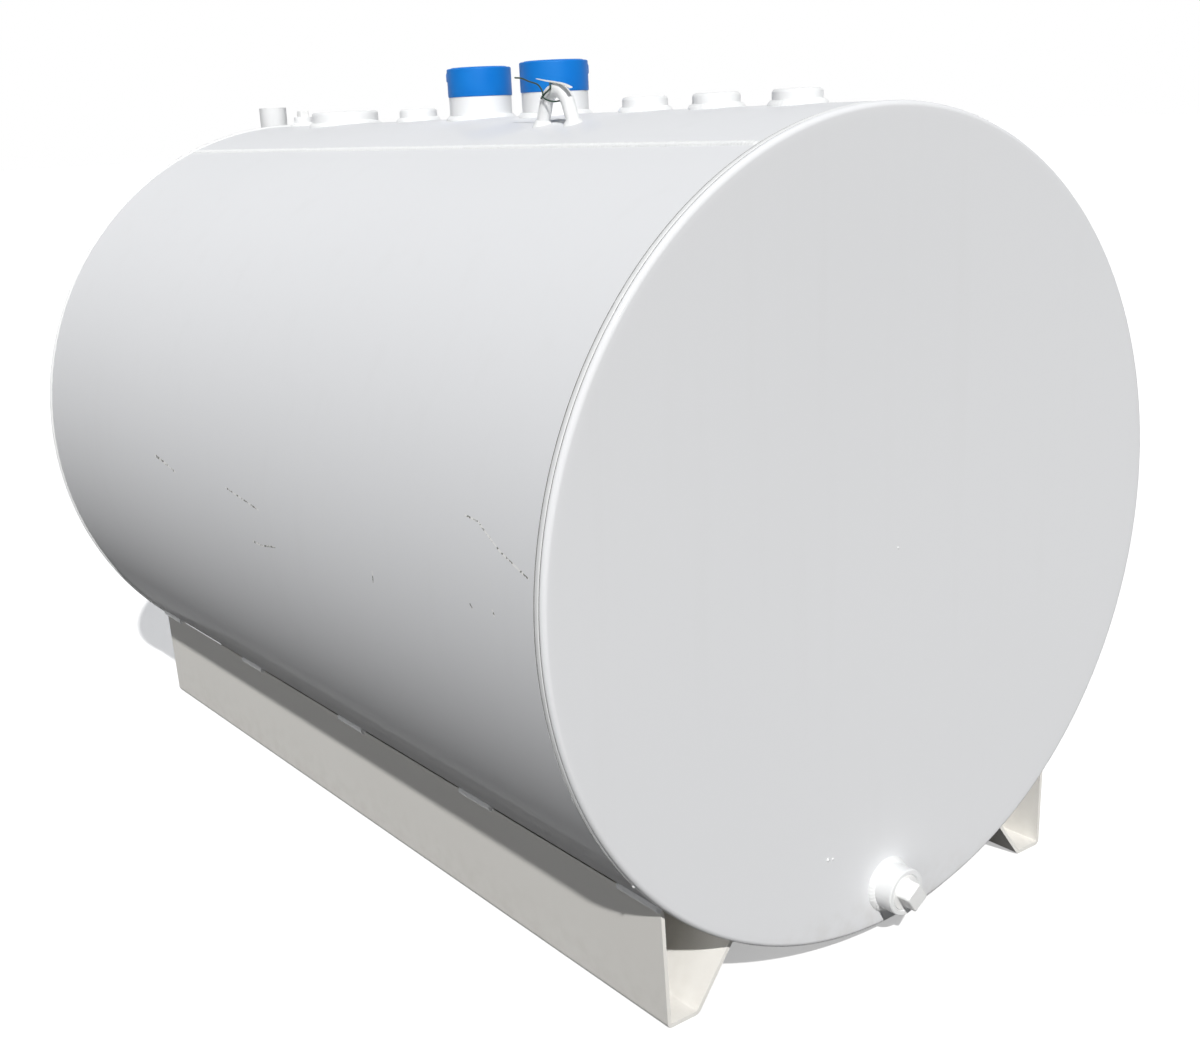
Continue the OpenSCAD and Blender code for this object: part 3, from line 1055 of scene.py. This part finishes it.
@dataclass
class CrownFittings(SubAssembly):
    """Couplings, risers and the test port along the crown."""

    bead_leg: float = 0.0075
    bead: Bead = Bead(height=0.0016, pitch=0.006)
    first_seed: int = 11
    thread_pitch: float = 0.0022
    fill_pitch: float = 0.0032
    thread_depth: float = 0.0011
    thread_start: float = 0.001
    thread_end: float = 0.002
    thread_rows: int = 6
    segments: int = 72
    shoulder: float = 0.006
    shoulder_steps: int = 8
    mouth: float = 0.0014
    mouth_share: float = 0.7
    port_bore: float = 0.0145
    port_square: float = 0.0206
    # Each one names a coupling and its mount in the record
    open_ports: tuple[str, ...] = ("first", "second", "third", "fourth", "fill")
    risers: tuple[str, ...] = ("front_riser", "rear_riser")
    port: str = "test_port"

    def ring_bead(self, maker: MeshMaker, node: str, seed: int) -> None:
        """Lays a bead round the foot of a fitting.

        Args:
            maker: takes the points and faces.
            node: the fitting.
            seed: start of the random ripple sizes.
        """
        low, high, middle = extent(node)
        radius = (high.x - low.x) / 2

        def line(share: float) -> BeadSpot:
            """Gives one station.

            Args:
                share: how far along the bead it is.

            Returns:
                The station.
            """
            angle = FULL_TURN * share
            radial = Vector((cos(angle), sin(angle), 0.0))
            outer = middle + radial * (radius + self.bead_leg)
            inner = middle + radial * (radius - 2 * HAIR)
            toe, facing = SHELL.crown_at(outer.x, outer.y)
            wall, _ = SHELL.crown_at(inner.x, inner.y)
            wall = wall + Vector((0.0, 0.0, self.bead_leg))
            return BeadSpot(toe - facing * (4 * HAIR), wall, (radial + facing).normalized())

        bead = replace(self.bead, seed=seed)
        bead.lay(maker, line, FULL_TURN * (radius + self.bead_leg / 2), True)

    def thread(self, node: str, bore: float, pitch: float) -> None:
        """Turns the thread inside an open coupling.

        Args:
            node: the coupling.
            bore: radius of its bore.
            pitch: rise of one turn.
        """
        _, high, middle = extent(node)
        deep = high.z - SHELL.radius - SHELL.axis_z - self.thread_end
        rows = []
        count = int(deep / pitch * self.thread_rows)
        for row_number in range(count + 1):
            down = deep * row_number / count
            lead = min(1.0, down / (2 * pitch))
            level = high.z - self.thread_start - down
            row = []
            for step in range(self.segments):
                share = step / self.segments
                tooth = abs((down / pitch - share) % 1.0 * 2 - 1)
                radius = bore - HAIR - self.thread_depth * tooth * lead
                across = radius * cos(FULL_TURN * share)
                along = radius * sin(FULL_TURN * share)
                row.append(Vector((middle.x + across, middle.y + along, level)))
            rows.append(row)
        maker = MeshMaker()
        maker.grid(rows, ring=True)
        self.hand_in(maker, f"{node}_thread", Slot.FITTING)

    def test_plug(self) -> None:
        """Casts the plug of the test port."""
        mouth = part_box(self.port)[1].z
        _, high, middle = extent("test_port_plug")
        maker = MeshMaker()
        plug = SquarePlug(self.port_bore, self.port_square, high.z - mouth)
        plug.cast(maker, Matrix.Translation((middle.x, middle.y, mouth)))
        self.hand_in(maker, "test_port_plug_cast", Slot.PLUG, ["test_port_plug"])

    def body(self, node: str, bore: float) -> None:
        """Turns a coupling with a round shoulder.

        Args:
            node: CAD node that it stands for.
            bore: radius of its bore.
        """
        low, high, middle = extent(node)
        outer = (high.x - low.x) / 2
        tall = high.z - low.z
        profile = [(bore - HAIR, 0.0), (bore - HAIR, tall - self.mouth)]
        profile.append((bore + self.mouth * self.mouth_share, tall - 2 * HAIR))
        profile.append((bore + self.mouth, tall))
        middle_edge = (outer - self.shoulder, tall - self.shoulder)
        profile += corner(middle_edge, self.shoulder, self.shoulder_steps)
        profile += [(outer, tall / 2), (outer, 0.0)]
        maker = MeshMaker()
        maker.spin(profile, Matrix.Translation((middle.x, middle.y, low.z)), self.segments)
        self.hand_in(maker, f"{node}_turned", Slot.FITTING, [node])

    def build(self) -> None:
        """Dresses the fittings, lays their beads and turns their threads."""
        self.dress(Slot.FITTING, *self.risers, self.port)
        self.test_plug()
        couplings = [f"{name}_coupling" for name in self.open_ports]
        beads = MeshMaker()
        for number, node in enumerate((*couplings, *self.risers, self.port)):
            self.ring_bead(beads, node, self.first_seed + number)
        self.hand_in(beads, "fitting_beads", Slot.WELD, ["fitting_welds"])
        mounts = {entry["name"]: entry for entry in frame["record"]["mounts"]}
        for name, node in zip(self.open_ports, couplings):
            bore = mounts[f"{name}_port"]["dims"]["r_mm"] * MILLIMETRE
            self.body(node, bore)
            self.thread(node, bore, self.fill_pitch if name == "fill" else self.thread_pitch)


@dataclass
class VentCaps(SubAssembly):
    """Blue plastic caps pushed over the risers."""

    wall: float = 0.0014
    slim: float = 0.0014
    lip: float = 0.0014
    lip_share: float = 0.7
    edge: float = 0.0028
    edge_steps: int = 6
    disc_share: float = 0.86
    disc_rise: float = 0.0015
    disc_round: float = 0.8
    disc_slope: float = 0.0012
    ear_size: Place = (0.005, 0.014, 0.016)
    ear_level: float = 0.55
    ear_sunk: float = 0.001
    # Height and width of the ear's levels, as shares
    ear_levels: tuple[Pair, ...] = ((0.0, 0.75), (0.1, 1.0), (0.8, 1.0), (1.0, 0.6))
    ear_points: int = 16
    # Angle of each cap's ear from the front of the tank, in degrees
    ear_turns: tuple[tuple[str, float], ...] = (("front_cap", 60.0), ("rear_cap", -125.0))
    segments: int = 96

    def cap(self, node: str, ear_turn: float) -> None:
        """Moulds one cap.

        Args:
            node: CAD node that it stands for.
            ear_turn: angle of its pull ear from the front of the tank.
        """
        low, high, middle = extent(node)
        outer = (high.x - low.x) / 2 - self.slim
        tall = high.z - low.z - self.disc_rise
        top = tall + self.disc_rise
        disc = outer * self.disc_share
        profile = [(outer - self.wall, tall - self.wall), (outer - self.wall, 0.0)]
        profile += [(outer - self.wall * self.lip_share, 0.0), (outer - 4 * HAIR, 6 * HAIR)]
        profile += [(outer, self.lip), (outer, tall / 2)]
        middle_edge = (outer - self.edge, tall - self.edge)
        profile += reversed(corner(middle_edge, self.edge, self.edge_steps))
        profile.append((disc + self.disc_slope, tall))
        profile.append((disc, tall + self.disc_rise * self.disc_round))
        profile += [(disc - self.disc_slope, top), (disc / 2, top), (HAIR, top)]
        maker = MeshMaker()
        maker.spin(profile, Matrix.Translation((middle.x, middle.y, low.z)), self.segments)
        foot = Vector((middle.x, middle.y, low.z + tall * self.ear_level))
        self.ear(maker, Matrix.Translation(foot) @ Matrix.Rotation(ear_turn, 4, "Z"), outer)
        self.hand_in(maker, f"{node}_moulded", Slot.CAP, [node])

    def ear(self, maker: MeshMaker, place: Matrix, outer: float) -> None:
        """Adds the small pull ear on the wall of a cap.

        Args:
            maker: takes the points and faces.
            place: axis of the cap at the foot of the ear, turned to face it.
            outer: radius of the wall.
        """
        deep, wide, tall = self.ear_size
        rows = []
        for level, share in self.ear_levels:
            row = []
            for step in range(self.ear_points):
                angle = FULL_TURN * step / self.ear_points
                across = outer - self.ear_sunk + deep / 2 * share * cos(angle)
                along = wide / 2 * share * sin(angle)
                row.append(place @ Vector((across, along, level * tall)))
            rows.append(row)
        maker.bar(rows)

    def build(self) -> None:
        """Moulds both caps."""
        for node, turn in self.ear_turns:
            self.cap(node, radians(turn))


@dataclass
class Drain(SubAssembly):
    """Plugged drain low on the front head."""

    bead_leg: float = 0.0075
    bead: Bead = Bead(height=0.0014, pitch=0.006, seed=31)
    bore: float = 0.0278
    square: float = 0.034
    turn: float = radians(35)
    plug_seed: int = 43

    def plug(self) -> None:
        """Casts the plug."""
        _, high, middle = extent("drain_coupling")
        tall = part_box("drain_plug")[1].x - high.x
        mouth = Matrix.Translation((high.x, middle.y, middle.z))
        facing = Matrix.Rotation(QUARTER_TURN, 4, "Y") @ Matrix.Rotation(self.turn, 4, "Z")
        maker = MeshMaker()
        plug = SquarePlug(self.bore, self.square, tall, seed=self.plug_seed)
        plug.cast(maker, mouth @ facing)
        self.hand_in(maker, "drain_plug_cast", Slot.PLUG, ["drain_plug"])

    def ring_bead(self) -> None:
        """Lays the bead round the foot of the coupling."""
        low, high, middle = extent("drain_coupling")
        radius = (high.y - low.y) / 2
        foot = Vector((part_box("front_head")[1].x, middle.y, middle.z))
        ahead = Vector((1.0, 0.0, 0.0))

        def line(share: float) -> BeadSpot:
            """Gives one station.

            Args:
                share: how far along the bead it is.

            Returns:
                The station.
            """
            angle = FULL_TURN * share
            radial = Vector((0.0, cos(angle), sin(angle)))
            toe = foot + radial * (radius + self.bead_leg) - ahead * (3 * HAIR)
            wall = foot + radial * (radius - 2 * HAIR) + ahead * self.bead_leg
            return BeadSpot(wall, toe, (radial + ahead).normalized())

        maker = MeshMaker()
        self.bead.lay(maker, line, FULL_TURN * (radius + self.bead_leg / 2), True)
        self.hand_in(maker, "drain_bead", Slot.WELD, ["drain_weld"])

    def build(self) -> None:
        """Dresses the drain, casts its plug and lays its bead."""
        self.dress(Slot.FITTING, "drain_coupling")
        self.plug()
        self.ring_bead()


@dataclass
class LiftingLugs(SubAssembly):
    """Bent bar lugs on the shell."""

    def build(self) -> None:
        """Dresses the lugs and their welds."""
        self.dress(Slot.LUG, "front_lug", "rear_lug")
        self.dress(Slot.WELD, "front_lug_welds", "rear_lug_welds")


@dataclass
class TieWire(SubAssembly):
    """Stiff wire twisted round the front lug, with a blank strip caught under it."""

    wire_radius: float = 0.0013
    strip_width: float = 0.007
    strip_thick: float = 0.0011
    strip_tip: float = 0.12
    strip_taper: float = 2.2
    strip_across: Place = (0.0, 1.0, 0.12)
    wire_points: tuple[Place, ...] = (
        (0.2455, -0.1430, 1.3033), (0.2644, -0.1435, 1.3016), (0.2883, -0.1440, 1.2954),
        (0.3100, -0.1445, 1.2904), (0.3225, -0.1450, 1.2797), (0.3255, -0.1440, 1.2690),
        (0.3400, -0.1360, 1.2635), (0.3450, -0.1220, 1.2665), (0.3380, -0.1150, 1.2780),
        (0.3265, -0.1175, 1.2895), (0.3255, -0.1300, 1.2917), (0.3370, -0.1400, 1.2898),
        (0.3430, -0.1437, 1.2840), (0.3290, -0.1450, 1.2757), (0.3170, -0.1445, 1.2690),
    )
    strip_points: tuple[Place, ...] = (
        (0.3015, -0.1410, 1.2995), (0.3200, -0.1390, 1.2962), (0.3400, -0.1360, 1.2930),
        (0.3600, -0.1360, 1.2902), (0.3780, -0.1370, 1.2862), (0.3890, -0.1380, 1.2825),
    )

    def wire(self) -> None:
        """Bends the wire."""
        maker = MeshMaker()
        maker.tube(smooth_path(self.wire_points), self.wire_radius)
        self.hand_in(maker, "tie_wire", Trim.WIRE)

    def strip(self) -> None:
        """Cuts the blank strip, pointed at its free end."""
        path = smooth_path(self.strip_points)
        across = Vector(self.strip_across).normalized()
        lift = Vector((0.0, 0.0, self.strip_thick / 2))
        rows = []
        for number, spot in enumerate(path):
            share = number / (len(path) - 1)
            wide = min(1.0, self.strip_tip + self.strip_taper * share)
            half = across * (self.strip_width / 2 * wide)
            under, over = spot - lift, spot + lift
            rows.append([under - half, under + half, over + half, over - half])
        maker = MeshMaker()
        maker.bar(rows)
        self.hand_in(maker, "blank_strip", Trim.TAG, smooth=False)

    def build(self) -> None:
        """Adds the wire and the strip."""
        self.wire()
        self.strip()


@dataclass
class Standpipe(SubAssembly):
    """Pipe behind the back head."""

    def build(self) -> None:
        """Dresses the pipe, its elbow, clip and weld."""
        self.dress(Slot.FITTING, "standpipe", "standpipe_elbow", "standpipe_clip")
        self.dress(Slot.WELD, "standpipe_weld")


@dataclass(frozen=True)
class Lamp:
    """A far lamp."""

    name: str
    way: Place
    power: float
    spread: float
    colour: Place = (1.0, 1.0, 1.0)
    glints: bool = False

    def build(self) -> None:
        """Hangs the lamp, which shows in gloss only where it has glints."""
        light = bpy.data.lights.new(self.name, "SUN")
        light.energy = self.power
        light.angle = radians(self.spread)
        light.color = self.colour
        made = add_object(self.name, light)
        made.rotation_euler = Vector(self.way).to_track_quat("Z", "Y").to_euler()
        made.visible_glossy = self.glints


@dataclass
class Studio:
    """Floor, light and camera."""

    camera_place: Place = (2.3343, -1.5635, 1.2450)
    bearing: float = radians(53.423)
    drop: float = radians(15.52)
    roll: float = radians(-2.579)
    focal_pixels: float = 1501.5
    floor_size: float = 120.0
    floor_level: float = -0.0005
    floor_pale: Colour = (0.86, 0.86, 0.86, 1.0)
    floor_bounce: Colour = (0.05, 0.048, 0.045, 1.0)
    floor_glow: float = 0.42
    lamps: tuple[Lamp, ...] = (
        Lamp("key_lamp", (0.652, -0.367, 0.663), 3.25, 1.2, (1.0, 0.992, 0.978), glints=True),
        Lamp("fill_lamp", (0.45, -0.85, 0.22), 0.45, 40.0),
        Lamp("back_lamp", (-0.7, 0.7, 0.05), 1.7, 40.0),
    )
    sky_top: Colour = (0.62, 0.71, 0.86, 1.0)
    sky_low: Colour = (0.80, 0.83, 0.88, 1.0)
    sky_power: float = 0.14
    sky_reach: float = 0.9

    def seen_share(self, sheet: NodeSheet) -> Socket:
        """Gives 1 for camera, glossy and transmission rays, and 0 for light bounces.

        Args:
            sheet: nodes of the material or the world.

        Returns:
            The share.
        """
        path = sheet.add("ShaderNodeLightPath").outputs
        seen = sheet.calc("MAXIMUM", path["Is Camera Ray"], path["Is Glossy Ray"])
        return sheet.calc("MAXIMUM", seen, path["Is Transmission Ray"])

    def floor(self) -> None:
        """Lays the pale floor."""
        half = self.floor_size / 2
        maker = MeshMaker()
        corners = ((-half, -half), (half, -half), (half, half), (-half, half))
        maker.lid([Vector((x, y, self.floor_level)) for x, y in corners])
        plane = maker.piece("floor", smooth=False)
        sheet = MaterialSheet("pale_floor")
        seen = self.seen_share(sheet)
        sheet.shade(
            {
                "Base Color": sheet.blend(seen, self.floor_bounce, self.floor_pale),
                "Roughness": 1.0,
                "Specular IOR Level": 0.0,
                "Emission Color": WHITE,
                "Emission Strength": sheet.calc("MULTIPLY", seen, self.floor_glow),
            }
        )
        plane.data.materials.append(sheet.material)

    def sky(self) -> None:
        """Sets the white background and the soft light from above."""
        world = bpy.data.worlds.new("studio_sky")
        world.use_nodes = True
        bpy.context.scene.world = world
        sheet = NodeSheet(world.node_tree)
        background = world.node_tree.nodes["Background"]
        way = sheet.add("ShaderNodeTexCoord").outputs["Generated"]
        height = sheet.add("ShaderNodeSeparateXYZ", {0: way}).outputs[2]
        light = sheet.blend(sheet.ramp(height, 0.0, self.sky_reach), self.sky_low, self.sky_top)
        seen = self.seen_share(sheet)
        colour = sheet.blend(seen, light, WHITE)
        power = sheet.calc("MULTIPLY_ADD", seen, 1.0 - self.sky_power, self.sky_power)
        sheet.feed(background.inputs["Color"], colour)
        sheet.feed(background.inputs["Strength"], power)

    def camera(self) -> None:
        """Sets the camera at the viewing angle of the photo."""
        turned = Matrix.Rotation(self.bearing, 4, "Z")
        turned = turned @ Matrix.Rotation(QUARTER_TURN - self.drop, 4, "X")
        turned = turned @ Matrix.Rotation(self.roll, 4, "Z")
        data = bpy.data.cameras.new("photo_camera")
        data.sensor_width = SENSOR_WIDTH
        data.lens = self.focal_pixels * SENSOR_WIDTH / PHOTO_WIDTH
        made = add_object("photo_camera", data)
        made.matrix_world = Matrix.Translation(self.camera_place) @ turned
        bpy.context.scene.camera = made

    def build(self) -> None:
        """Sets up the whole studio."""
        bpy.context.scene.view_settings.view_transform = "Standard"
        self.floor()
        for lamp in self.lamps:
            lamp.build()
        self.sky()
        self.camera()
        LOG.info("studio ready")


def main() -> None:
    """Builds the tank's looks and the studio."""
    logging.basicConfig(level=logging.INFO, format="%(name)s: %(message)s")
    effects = Effects()
    materials = {key: finish.material(effects) for key, finish in FINISHES.items()}
    kinds = (TankBody, Skids, CrownFittings, VentCaps, Drain, LiftingLugs, TieWire, Standpipe)
    for kind in kinds:
        kind(materials).build()
    Studio().build()


if __name__ == "__main__":
    main()
